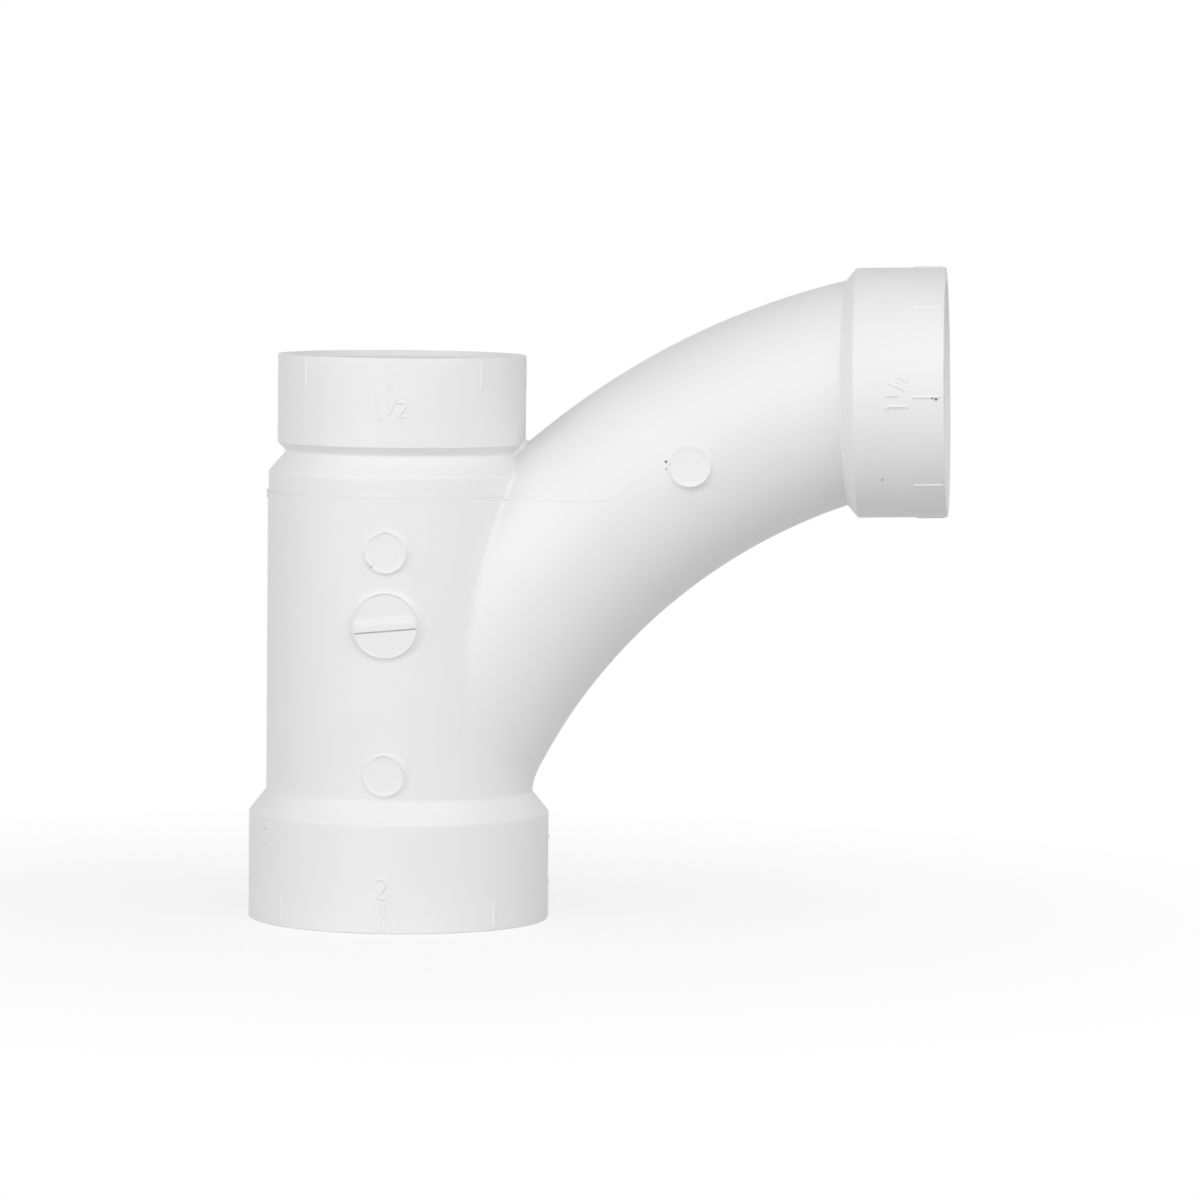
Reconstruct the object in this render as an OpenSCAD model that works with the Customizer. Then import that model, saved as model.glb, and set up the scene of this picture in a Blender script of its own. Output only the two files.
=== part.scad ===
// Reducing combination tee wye for drain pipe: a straight run with a lower
// socket for the larger pipe and an upper socket for the smaller one, and a
// long swept branch that ends in a third socket, pitched up for drainage.
// The origin is the centre of the lower mouth, +Z runs up the run and the
// branch leaves towards +X. Everything is one moulding. Sizes are in mm.

/* [Sockets] */
// Outside diameter of the pipe that enters the lower socket
inlet_pipe_d = 60.33; // [58.5:0.01:62]
// Outside diameter of the pipe that enters the upper socket and the branch
outlet_pipe_d = 48.26; // [47:0.01:49.5]
// Play between a pipe and its socket, on the diameter
pipe_play = 0.2; // [0.1:0.05:0.6]
// Depth of the lower socket
inlet_socket_depth = 22.2; // [18:0.1:25]
// Depth of the upper socket and of the branch socket
outlet_socket_depth = 19.05; // [15:0.05:20]
// Lead-in chamfer inside each mouth
mouth_chamfer = 1.2; // [0.4:0.1:2]
// Waterway diameter above the lower socket
inlet_bore_d = 52.5; // [50:0.1:54]
// Waterway diameter below the upper socket and through the branch
outlet_bore_d = 40.9; // [38:0.1:43]

/* [Walls] */
// Wall of the lower hub round its socket
inlet_hub_wall = 3.9; // [3.4:0.05:5]
// Wall of the upper hub and of the branch hub round their sockets
outlet_hub_wall = 3.95; // [3.4:0.05:5]
// Wall of the run's body
body_wall = 4.05; // [3:0.05:5]
// Wall of the swept branch
branch_wall = 4; // [3:0.05:4.4]
// Rounding of the outer edges
edge_round = 0.8; // [0.3:0.1:1.2]

/* [Run] */
// Height of the run from the lower mouth to the upper one
run_h = 128.3; // [126:0.1:134]
// Length of the lower hub's straight outside
inlet_hub_len = 24.3; // [22:0.1:26]
// Height of the shoulder above the lower hub
shoulder_h = 4.8; // [4:0.1:7]
// Length of the upper hub's straight outside
outlet_hub_len = 20; // [18:0.1:23]
// Depth of the groove below the upper hub
groove_depth = 2; // [1:0.1:2.6]
// Height of the cone that leads down into the groove
neck_h = 4.6; // [3.5:0.1:6]
// Height of the plain collar between the neck and the insert's step
collar_h = 4.5; // [2:0.1:8]
// How far the body stands out below the insert's step
collar_step = 0.15; // [0.05:0.05:0.6]

/* [Branch] */
// Height at which the branch's axis crosses the run's axis
branch_axis_h = 118.7; // [116:0.05:121]
// Rise of the branch's axis towards its mouth, in degrees
branch_pitch = 1.19; // [0:0.01:3]
// Distance along the branch's axis from the run's axis to the mouth
branch_reach = 123.7; // [120:0.1:130]
// Radius of the sweep's centreline
sweep_r = 148.8; // [144:0.1:154]
// Angle between the run's axis and the start of the sweep
sweep_entry = 16.3; // [15:0.1:17.5]
// Length of the branch hub's straight outside
branch_hub_len = 20.2; // [18:0.1:23]
// Length of the shoulder behind the branch hub
branch_shoulder_len = 3.1; // [2:0.1:5]

/* [Blend] */
// Fillet radius in the crotch above the branch
crotch_r = 1; // [0.8:0.1:2.5]
// Fillet radius in the throat below the branch
throat_r = 16; // [10:0.5:22]

/* [Mould marks] */
// Diameter of the pin marks on the run and on the branch
pin_mark_d = 9.3; // [6:0.1:12]
// Height of the lower pin mark on the run
lower_pin_mark_z = 35.1; // [34:0.1:50]
// Height of the upper pin mark on the run
upper_pin_mark_z = 85; // [82:0.1:90]
// Distance from the run's axis to the branch's pin mark
pin_mark_x = 66.7; // [60:0.1:80]
// Diameter of the round medallion on the run
medallion_d = 15; // [12:0.1:18]
// Height of the medallion's centre
medallion_z = 68.7; // [62:0.1:72]
// Tilt of the step across the medallion, in degrees
medallion_tilt = 6; // [0:0.5:12]
// How far the step lies below the medallion's centre
medallion_drop = 1.15; // [0:0.05:3]
// Height of the step, where the medallion's ramp ends
medallion_ramp = 0.8; // [0.4:0.1:1.2]
// How far a mark's face stands out of the surface
mark_proud = 0.35; // [0.2:0.05:0.8]
// Height of the fine rim round a mark
rim_h = 0.2; // [0.1:0.05:0.4]
// Width of the fine rim round a mark
rim_w = 0.5; // [0.3:0.05:0.8]
// Number of alignment ribs round each hub
rib_count = 8; // [4:1:16]
// Length of an alignment rib
rib_len = 6.2; // [3:0.1:9]
// Width of an alignment rib
rib_w = 0.5; // [0.3:0.05:1]
// Height of an alignment rib above its hub
rib_h = 0.3; // [0.15:0.05:0.6]
// Gap between an alignment rib and its mouth
rib_gap = 0.9; // [0.5:0.1:2]

/* [Hidden] */
$fn = 128;
// Depth by which joined shapes overlap, and by which cuts run past a face
overlap = 1;
// Depth to which the blend's edges are sunk below the surfaces they meet
sink = 0.12;
// Stations round the blend, and points across its arc
blend_stations = 72;
blend_points = 6;
// Straight steps in each rounded corner of a profile
corner_steps = 4;
// Step in which the radius that the blend's ball touches is sought
touch_step = 0.05;

inlet_socket_r = (inlet_pipe_d + pipe_play) / 2;
outlet_socket_r = (outlet_pipe_d + pipe_play) / 2;
inlet_bore_r = inlet_bore_d / 2;
outlet_bore_r = outlet_bore_d / 2;
inlet_hub_r = inlet_socket_r + inlet_hub_wall;
outlet_hub_r = outlet_socket_r + outlet_hub_wall;
body_r = inlet_bore_r + body_wall;
branch_r = outlet_bore_r + branch_wall;

// Heights along the run, from the upper mouth down
hub_base_z = run_h - outlet_hub_len;
groove_z = hub_base_z - groove_depth;
neck_z = groove_z - neck_h;
step_z = neck_z - collar_h;
upper_floor_z = run_h - outlet_socket_depth;
groove_r = outlet_hub_r - groove_depth;
collar_r = body_r - collar_step;
reducer_z = neck_z - body_wall / 2;
// Radius of the run's outside by height, from the body to the upper hub
outside_by_z = [
    [step_z - sink, body_r],
    [step_z, collar_r],
    [neck_z, collar_r],
    [groove_z, groove_r],
    [hub_base_z, outlet_hub_r]
];
// Depth of the blend's root below the crease it covers, past the groove
root_depth = groove_depth + 2 * overlap;

// Distances along the branch's axis
socket_floor_s = branch_reach - outlet_socket_depth;
hub_base_s = branch_reach - branch_hub_len;
shoulder_s = hub_base_s - branch_shoulder_len;

// The sweep leaves the run's axis at its entry angle, meets the branch's axis
// at the start of the shoulder and runs on past the floor of the socket
meeting_x = shoulder_s * cos(branch_pitch);
meeting_z = branch_axis_h + shoulder_s * sin(branch_pitch);
sweep_x = sweep_r * cos(sweep_entry);
sweep_z = meeting_z - sqrt(pow(sweep_r, 2) - pow(sweep_x - meeting_x, 2));
sweep_from = acos((socket_floor_s + overlap - sweep_x) / (sweep_r + outlet_bore_r));
sweep_angle = 180 - sweep_entry - sweep_from;
pin_mark_z = sweep_z + sqrt(pow(sweep_r, 2) - pow(sweep_x - pin_mark_x, 2));

function unit(v) = v / norm(v);

// Signed angle from one flat direction to another, between -180 and 180
function turn(from, to) = atan2(from[0] * to[1] - from[1] * to[0], from * to);

// Points of one corner [x, y, radius] of an outline, as an arc if it is round
function corner(before, here, after) =
    let(
        tip = [here[0], here[1]],
        back = unit([before[0], before[1]] - tip),
        ahead = unit([after[0], after[1]] - tip),
        half = acos(back * ahead) / 2,
        centre = tip + unit(back + ahead) * here[2] / sin(half),
        first = tip + back * here[2] / tan(half) - centre,
        last = tip + ahead * here[2] / tan(half) - centre,
        start = atan2(first[1], first[0]),
        sweep = turn(first, last)
    )
    here[2] == 0 ? [tip] : [
        for (i = [0 : corner_steps])
            let(a = start + sweep * i / corner_steps)
            centre + here[2] * [cos(a), sin(a)]
    ];

// Outline with its corners rounded, each corner given as [x, y, radius]
function rounded(corners) =
    let(n = len(corners))
    [
        for (i = [0 : n - 1])
            each corner(corners[(i + n - 1) % n], corners[i], corners[(i + 1) % n])
    ];

// Radius of the rolling ball of the blend, at an angle round the branch
function ball_r(around) = crotch_r + (throat_r - crotch_r) * pow((1 - cos(around)) / 2, 2);

// Centre of a ball that touches the swept branch at an angle round it, and the
// run where its radius is the given one: [point, angle along the sweep]
function ball_at(around, run_r) =
    let(
        r = ball_r(around),
        reach = sweep_r + (branch_r + r) * cos(around),
        y = (branch_r + r) * sin(around),
        x = sqrt(pow(run_r + r, 2) - pow(y, 2)),
        along = acos((sweep_x - x) / reach)
    )
    [[x, y, sweep_z + reach * sin(along)], along];

// The ball that comes from outside rests on the largest radius that the run
// has at the ball's own height
function ball(around) =
    ball_at(around, max([
        for (run_r = [groove_r : touch_step : body_r])
            if (lookup(ball_at(around, run_r)[0][2], outside_by_z) >= run_r) run_r
    ]));

// Cross-section of the blend at one station: an arc of the ball between the
// two surfaces, its ends sunk into them, closed by a root inside the walls
// that also fills the tip of the groove behind the crotch
function blend_section(around) =
    let(
        r = ball_r(around),
        placed = ball(around),
        centre = placed[0],
        outward = [-cos(placed[1]), 0, sin(placed[1])],
        to_run = -unit([centre[0], centre[1], 0]),
        to_branch = -(cos(around) * outward + [0, sin(around), 0]),
        bend = acos(to_run * to_branch),
        root = centre + unit(to_run + to_branch) * (r / cos(bend / 2) + root_depth)
    )
    [
        root,
        centre + to_run * (r + root_depth),
        centre + to_run * (r + sink),
        for (i = [1 : blend_points])
            let(a = bend * i / (blend_points + 1))
            centre + r * (to_run * sin(bend - a) + to_branch * sin(a)) / sin(bend),
        centre + to_branch * (r + sink),
        centre + to_branch * (r + root_depth)
    ];

// Outside of the run, as a solid of revolution
module run_outside() {
    rotate_extrude()
        polygon(rounded([
            [0, 0, 0],
            [inlet_hub_r, 0, edge_round],
            [inlet_hub_r, inlet_hub_len, edge_round],
            [body_r, inlet_hub_len + shoulder_h, edge_round],
            [body_r, step_z, 0],
            [collar_r, step_z, 0],
            [collar_r, neck_z, edge_round],
            [groove_r, groove_z, edge_round],
            [outlet_hub_r, hub_base_z, edge_round],
            [outlet_hub_r, run_h, edge_round],
            [0, run_h, 0]
        ]));
}

// Sockets and waterway of the run, with the reducing cone above the branch
module run_inside() {
    rotate_extrude()
        polygon([
            [0, -overlap],
            [inlet_socket_r + mouth_chamfer + overlap, -overlap],
            [inlet_socket_r, mouth_chamfer],
            [inlet_socket_r, inlet_socket_depth],
            [inlet_bore_r, inlet_socket_depth],
            [inlet_bore_r, reducer_z],
            [outlet_bore_r, reducer_z + inlet_bore_r - outlet_bore_r],
            [outlet_bore_r, upper_floor_z],
            [outlet_socket_r, upper_floor_z],
            [outlet_socket_r, run_h - mouth_chamfer],
            [outlet_socket_r + mouth_chamfer + overlap, run_h + overlap],
            [0, run_h + overlap]
        ]);
}

// Arc of round bar along the sweep, of a given radius
module sweep_bar(r) {
    translate([sweep_x, 0, sweep_z])
        rotate([90, 0, 0])
            rotate_extrude(angle = sweep_angle, start = sweep_from)
                translate([sweep_r, 0])
                    circle(r = r);
}

// Places its children on the branch's axis, with +Z towards the mouth
module on_branch_axis() {
    translate([0, 0, branch_axis_h])
        rotate([0, 90 - branch_pitch, 0])
            children();
}

// Outside of the branch hub with its shoulder
module branch_hub() {
    on_branch_axis()
        rotate_extrude()
            polygon(rounded([
                [0, shoulder_s, 0],
                [branch_r, shoulder_s, 0],
                [outlet_hub_r, hub_base_s, edge_round],
                [outlet_hub_r, branch_reach, edge_round],
                [0, branch_reach, 0]
            ]));
}

// Socket of the branch
module branch_socket() {
    on_branch_axis()
        rotate_extrude()
            polygon([
                [0, socket_floor_s],
                [outlet_socket_r, socket_floor_s],
                [outlet_socket_r, branch_reach - mouth_chamfer],
                [outlet_socket_r + mouth_chamfer + overlap, branch_reach + overlap],
                [0, branch_reach + overlap]
            ]);
}

// Blend between the run and the swept branch: a closed band whose sections
// follow a ball that rolls round the joint, tight in the crotch and wide in
// the throat
module blend() {
    sections = [for (i = [0 : blend_stations - 1]) blend_section(360 * i / blend_stations)];
    n = len(sections[0]);
    polyhedron(
        points = [for (section = sections) each section],
        faces = [
            for (i = [0 : blend_stations - 1], j = [0 : n - 1])
                let(next = (i + 1) % blend_stations, side = (j + 1) % n)
                each [
                    [i * n + j, next * n + j, next * n + side],
                    [i * n + j, next * n + side, i * n + side]
                ]
        ]
    );
}

// Round mark of a mould pin on the front, with its fine rim, whose face
// stands out of a surface that lies a given distance in front of the axis
module pin_mark(d, surface) {
    rotate([90, 0, 0]) {
        translate([0, 0, surface - overlap])
            cylinder(d = d, h = overlap + mark_proud);
        rotate_extrude()
            translate([d / 2 - rim_w, surface - overlap])
                square([rim_w, overlap + mark_proud + rim_h]);
    }
}

// Medallion: a pin mark whose upper part ramps out to a tilted step
module medallion() {
    face = body_r + mark_proud;
    ramp_len = medallion_d / 2 + medallion_drop;
    pin_mark(medallion_d, body_r);
    rotate([90, 0, 0])
        intersection() {
            cylinder(d = medallion_d, h = face + medallion_ramp + overlap);
            rotate([0, 0, medallion_tilt])
                translate([0, -medallion_drop, face])
                    rotate([0, -90, 0])
                        linear_extrude(medallion_d + overlap, center = true)
                            polygon([[-overlap, 0], [medallion_ramp, 0], [0, ramp_len], [-overlap, ramp_len]]);
        }
}

// Alignment ribs round a hub of radius r that ends in a mouth at a given
// height. The ribs lie above the mouth where side is 1 and below where it is -1
module ribs(r, mouth, side) {
    for (i = [0 : rib_count - 1])
        rotate([0, 0, 360 * i / rib_count])
            translate([r, 0, mouth + side * (rib_gap + rib_len / 2)])
                cube([2 * rib_h, rib_w, rib_len], center = true);
}

module fitting_body() {
    color("white")
        difference() {
            union() {
                run_outside();
                sweep_bar(branch_r);
                branch_hub();
                blend();
                for (z = [lower_pin_mark_z, upper_pin_mark_z])
                    translate([0, 0, z])
                        pin_mark(pin_mark_d, body_r);
                translate([pin_mark_x, 0, pin_mark_z])
                    pin_mark(pin_mark_d, branch_r);
                translate([0, 0, medallion_z])
                    medallion();
                ribs(inlet_hub_r, 0, 1);
                ribs(outlet_hub_r, run_h, -1);
                on_branch_axis()
                    ribs(outlet_hub_r, branch_reach, -1);
            }
            run_inside();
            sweep_bar(outlet_bore_r);
            branch_socket();
        }
}

fitting_body();
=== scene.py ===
"""Look of a reducing combination tee wye, a one-piece drain fitting in white plastic.

The run stands on +Z with its lower mouth at the origin, and the swept branch
leaves towards +X. Sizes are in millimetres, and become metres in the meshes.
"""

import logging
import math
from dataclasses import dataclass, field
from enum import Enum
from typing import Callable

import bmesh
import bpy
import numpy as np
from mathutils import Matrix


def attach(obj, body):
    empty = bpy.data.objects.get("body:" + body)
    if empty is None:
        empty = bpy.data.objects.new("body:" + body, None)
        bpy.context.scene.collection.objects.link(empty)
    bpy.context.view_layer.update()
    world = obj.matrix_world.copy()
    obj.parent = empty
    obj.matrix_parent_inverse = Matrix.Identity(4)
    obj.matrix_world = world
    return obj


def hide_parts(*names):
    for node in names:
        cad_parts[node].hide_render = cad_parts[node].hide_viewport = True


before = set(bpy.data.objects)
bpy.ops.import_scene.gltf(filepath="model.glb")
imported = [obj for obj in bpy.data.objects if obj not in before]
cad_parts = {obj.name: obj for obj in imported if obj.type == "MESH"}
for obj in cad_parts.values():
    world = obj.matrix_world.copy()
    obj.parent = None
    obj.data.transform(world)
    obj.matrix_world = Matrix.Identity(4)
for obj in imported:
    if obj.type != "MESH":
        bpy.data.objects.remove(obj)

LOG = logging.getLogger("fitting")
MM = 0.001
BODY = "root"
HALVINGS = 50
SAME = 1e-6
FULL_TURN = 2 * math.pi

Array = np.ndarray
Surface = Callable[[Array, Array], Array]
Wrap = Callable[[Array, Array, Array], Array]


# Shapes


def bisect(falling: Callable[[Array], Array], low: Array, high: Array | float) -> Array:
    """Find where a falling function passes through nothing, for a whole array.

    The bracket is halved again and again: its low end moves up wherever the
    function is still positive in the middle, and its high end down elsewhere.

    Args:
        falling: Function of an array, positive at the low ends.
        low: Low ends of the brackets.
        high: High ends of the brackets.

    Returns:
        The places of the zeros.
    """
    for _ in range(HALVINGS):
        middle = (low + high) / 2
        positive = falling(middle) > 0
        low, high = np.where(positive, middle, low), np.where(positive, high, middle)
    return (low + high) / 2


def unit(vectors: Array) -> Array:
    """Scale each vector of an array to length one."""
    return vectors / np.linalg.norm(vectors, axis=-1, keepdims=True)


def stacked(*parts: Array | float) -> Array:
    """Join the parts of points or vectors, each an array or a number, along a new last axis."""
    return np.stack(np.broadcast_arrays(*parts), axis=-1)


def lengths_along(points: Array) -> Array:
    """Give the length of a polyline from its start to each of its points."""
    return np.concatenate([[0.0], np.cumsum(np.linalg.norm(np.diff(points, axis=0), axis=-1))])


def rounded_chain(corners: list[tuple[float, float, float]], segments: int) -> Array:
    """Trace an open outline whose inner corners are rounded.

    Each corner (a, b, radius) is replaced by an arc that touches both of its
    sides: the arc's centre lies on the bisector, at the radius over the sine
    of half the corner's angle from the tip.

    Args:
        corners: Points of the outline with their rounding radii.
        segments: Straight steps in each arc.

    Returns:
        Points of the outline, one row each.
    """
    tips = np.array([corner[:2] for corner in corners])
    traced = [tips[:1]]
    for before, tip, after, (_, _, radius) in zip(tips, tips[1:], tips[2:], corners[1:]):
        if radius == 0:
            traced.append(tip[None])
            continue
        back, ahead = unit(before - tip), unit(after - tip)
        half = math.acos(float(np.clip(back @ ahead, -1, 1))) / 2
        centre = tip + unit(back + ahead) * radius / math.sin(half)
        first, last = (tip + way * radius / math.tan(half) - centre for way in (back, ahead))
        bend = math.pi - 2 * half
        share = np.linspace(0, 1, segments + 1)[:, None] * bend
        traced.append(centre + (first * np.sin(bend - share) + last * np.sin(share)) / math.sin(bend))
    return np.concatenate([*traced, tips[-1:]])


def resampled(points: Array, step: float) -> Array:
    """Place points evenly along a polyline from end to end, a step apart at most."""
    run = lengths_along(points)
    at = np.linspace(0, run[-1], max(8, math.ceil(run[-1] / step)) + 1)
    return stacked(*(np.interp(at, run, part) for part in points.T))


def smoothed(knots: Array, rounds: int = 4) -> Array:
    """Round off a polyline by cutting its corners at a quarter and three quarters of each side."""
    for _ in range(rounds):
        cuts = (near * knots[:-1] + (1 - near) * knots[1:] for near in (0.75, 0.25))
        middle = np.stack(list(cuts), axis=1).reshape(-1, knots.shape[1])
        knots = np.concatenate([knots[:1], middle[1:-1], knots[-1:]])
    return knots


class Patchwork:
    """Grid patches that are sewn into one closed mesh along their shared edges."""

    WELD = 1e-5
    CREASE = math.radians(32)

    def __init__(self) -> None:
        """Start with no patches."""
        self._points: list[Array] = []
        self._quads: list[Array] = []
        self._count = 0

    def add(self, grid: Array) -> None:
        """Add a patch, given as rows x columns x 3 points in millimetres."""
        rows, columns = grid.shape[:2]
        index = np.arange(rows * columns).reshape(rows, columns) + self._count
        quads = stacked(index[:-1, :-1], index[1:, :-1], index[1:, 1:], index[:-1, 1:])
        self._points.append(grid.reshape(-1, 3))
        self._quads.append(quads.reshape(-1, 4))
        self._count += rows * columns

    def mesh(self, name: str) -> bpy.types.Mesh:
        """Sew the patches and shade them smooth, with edges above the crease's angle left sharp.

        Args:
            name: Name of the mesh.

        Returns:
            The finished mesh, closed and with its faces outwards.
        """
        mesh = bpy.data.meshes.new(name)
        mesh.from_pydata(np.concatenate(self._points) * MM, [], np.concatenate(self._quads).tolist())
        sewing = bmesh.new()
        sewing.from_mesh(mesh)
        bmesh.ops.remove_doubles(sewing, verts=sewing.verts, dist=self.WELD)
        bmesh.ops.dissolve_degenerate(sewing, edges=sewing.edges, dist=self.WELD / 100)
        bmesh.ops.recalc_face_normals(sewing, faces=sewing.faces)
        open_edges = sum(not edge.is_manifold for edge in sewing.edges)
        sewing.to_mesh(mesh)
        sewing.free()
        mesh.shade_smooth()
        mesh.set_sharp_from_angle(angle=self.CREASE)
        mesh.calc_loop_triangles()
        LOG.info("%s: %d triangles, %d open edges", name, len(mesh.loop_triangles), open_edges)
        return mesh


@dataclass(frozen=True)
class FittingSizes:
    """Sizes of the fitting, in millimetres and degrees.

    Attributes:
        inlet_socket_r: Radius of the lower socket.
        outlet_socket_r: Radius of the upper socket and the branch socket.
        inlet_socket_depth: Depth of the lower socket.
        outlet_socket_depth: Depth of the two smaller sockets.
        mouth_chamfer: Lead-in chamfer of each mouth.
        inlet_bore_r: Radius of the waterway above the lower socket.
        outlet_bore_r: Radius of the waterway in the branch and the upper hub.
        inlet_hub_r: Outside radius of the lower hub.
        outlet_hub_r: Outside radius of the upper hub and the branch hub.
        body_r: Outside radius of the run's body.
        branch_r: Outside radius of the swept branch.
        edge_round: Rounding of the shoulders' edges.
        wide_round: Rounding of the body's two ends.
        rim_round: Rounding of the mouths' outer edges and of the upper hub's lower edge.
        run_h: Height of the run.
        inlet_hub_len: Length of the lower hub's straight outside.
        shoulder_h: Height of the shoulder above the lower hub.
        outlet_hub_len: Length of the upper hub's straight outside.
        groove_depth: Depth of the groove below the upper hub.
        neck_h: Height of the cone that leads down into the groove.
        collar_h: Height of the collar between the neck and the insert's step.
        collar_step: How far the body stands out below that step.
        branch_axis_h: Height at which the two axes cross.
        branch_pitch: Rise of the branch's axis towards its mouth.
        branch_reach: Distance along the branch's axis to its mouth.
        sweep_r: Radius of the sweep's centreline.
        sweep_entry: Angle between the run's axis and the start of the sweep.
        branch_hub_len: Length of the branch hub's straight outside.
        branch_shoulder_len: Length of the shoulder behind the branch hub.
        crotch_r: Fillet radius in the crotch above the branch.
        joint_r: Share of the fillet radius that is the same all round the joint.
        throat_r: Fillet radius in the throat below the branch.
    """

    inlet_socket_r: float = 30.265
    outlet_socket_r: float = 24.23
    inlet_socket_depth: float = 22.2
    outlet_socket_depth: float = 19.05
    mouth_chamfer: float = 1.2
    inlet_bore_r: float = 26.25
    outlet_bore_r: float = 20.45
    inlet_hub_r: float = 34.165
    outlet_hub_r: float = 28.18
    body_r: float = 30.3
    branch_r: float = 24.45
    edge_round: float = 0.8
    wide_round: float = 1.28
    rim_round: float = 0.3
    run_h: float = 128.3
    inlet_hub_len: float = 24.3
    shoulder_h: float = 4.8
    outlet_hub_len: float = 20.0
    groove_depth: float = 2.0
    neck_h: float = 4.6
    collar_h: float = 4.5
    collar_step: float = 0.15
    branch_axis_h: float = 118.7
    branch_pitch: float = 1.19
    branch_reach: float = 123.7
    sweep_r: float = 148.8
    sweep_entry: float = 16.3
    branch_hub_len: float = 20.2
    branch_shoulder_len: float = 3.1
    crotch_r: float = 0.8
    joint_r: float = 0.15
    throat_r: float = 16.0

    @property
    def hub_base_z(self) -> float:
        """Height of the upper hub's lower edge."""
        return self.run_h - self.outlet_hub_len

    @property
    def neck_z(self) -> float:
        """Height at which the neck's cone starts."""
        return self.hub_base_z - self.groove_depth - self.neck_h

    @property
    def step_z(self) -> float:
        """Height of the line that the mould's insert leaves round the body."""
        return self.neck_z - self.collar_h

    @property
    def hub_base_s(self) -> float:
        """Distance along the branch's axis to the branch hub."""
        return self.branch_reach - self.branch_hub_len

    @property
    def shoulder_s(self) -> float:
        """Distance along the branch's axis to the branch's shoulder."""
        return self.hub_base_s - self.branch_shoulder_len

    @property
    def socket_floor_s(self) -> float:
        """Distance along the branch's axis to the branch socket's floor."""
        return self.branch_reach - self.outlet_socket_depth

    @property
    def sweep_centre(self) -> tuple[float, float]:
        """X and Z of the centre of the sweep's arc, which meets the branch's axis at the shoulder."""
        pitch = math.radians(self.branch_pitch)
        meeting_x = self.shoulder_s * math.cos(pitch)
        meeting_z = self.branch_axis_h + self.shoulder_s * math.sin(pitch)
        x = self.sweep_r * math.cos(math.radians(self.sweep_entry))
        return x, meeting_z - math.sqrt(self.sweep_r**2 - (x - meeting_x) ** 2)

    def run_outside(self, segments: int) -> Array:
        """Trace the run's outside from the lower mouth to the upper one, as [r, z]."""
        collar_r = self.body_r - self.collar_step
        shoulder_z = self.inlet_hub_len + self.shoulder_h
        corners = [
            (self.inlet_socket_r + self.mouth_chamfer, 0, 0),
            (self.inlet_hub_r, 0, self.rim_round),
            (self.inlet_hub_r, self.inlet_hub_len, self.edge_round),
            (self.body_r, shoulder_z, self.wide_round),
            (self.body_r, self.step_z - self.collar_step, 0),
            (collar_r, self.step_z, 0),
            (collar_r, self.neck_z, self.wide_round),
            (self.outlet_hub_r - self.groove_depth, self.neck_z + self.neck_h, self.edge_round),
            (self.outlet_hub_r, self.hub_base_z, self.rim_round),
            (self.outlet_hub_r, self.run_h, self.rim_round),
            (self.outlet_socket_r + self.mouth_chamfer, self.run_h, 0),
        ]
        return rounded_chain(corners, segments)

    def run_inside(self) -> Array:
        """Trace the run's inside from the lower mouth to the upper one, as [r, z]."""
        reducer_z = self.neck_z - (self.body_r - self.inlet_bore_r) / 2
        floor_z = self.run_h - self.outlet_socket_depth
        corners = [
            (self.inlet_socket_r + self.mouth_chamfer, 0),
            (self.inlet_socket_r, self.mouth_chamfer),
            (self.inlet_socket_r, self.inlet_socket_depth),
            (self.inlet_bore_r, self.inlet_socket_depth),
            (self.inlet_bore_r, reducer_z),
            (self.outlet_bore_r, reducer_z + self.inlet_bore_r - self.outlet_bore_r),
            (self.outlet_bore_r, floor_z),
            (self.outlet_socket_r, floor_z),
            (self.outlet_socket_r, self.run_h - self.mouth_chamfer),
            (self.outlet_socket_r + self.mouth_chamfer, self.run_h),
        ]
        return np.array(corners)

    def branch_hub(self, segments: int = 5) -> Array:
        """Trace the branch hub from its shoulder over the rim to the socket's floor, as [r, s]."""
        corners = [
            (self.branch_r, self.shoulder_s, 0),
            (self.outlet_hub_r, self.hub_base_s, self.edge_round),
            (self.outlet_hub_r, self.branch_reach, self.rim_round),
            (self.outlet_socket_r + self.mouth_chamfer, self.branch_reach, 0),
            (self.outlet_socket_r, self.branch_reach - self.mouth_chamfer, 0),
            (self.outlet_socket_r, self.socket_floor_s, 0),
        ]
        return rounded_chain(corners, segments)


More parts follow.
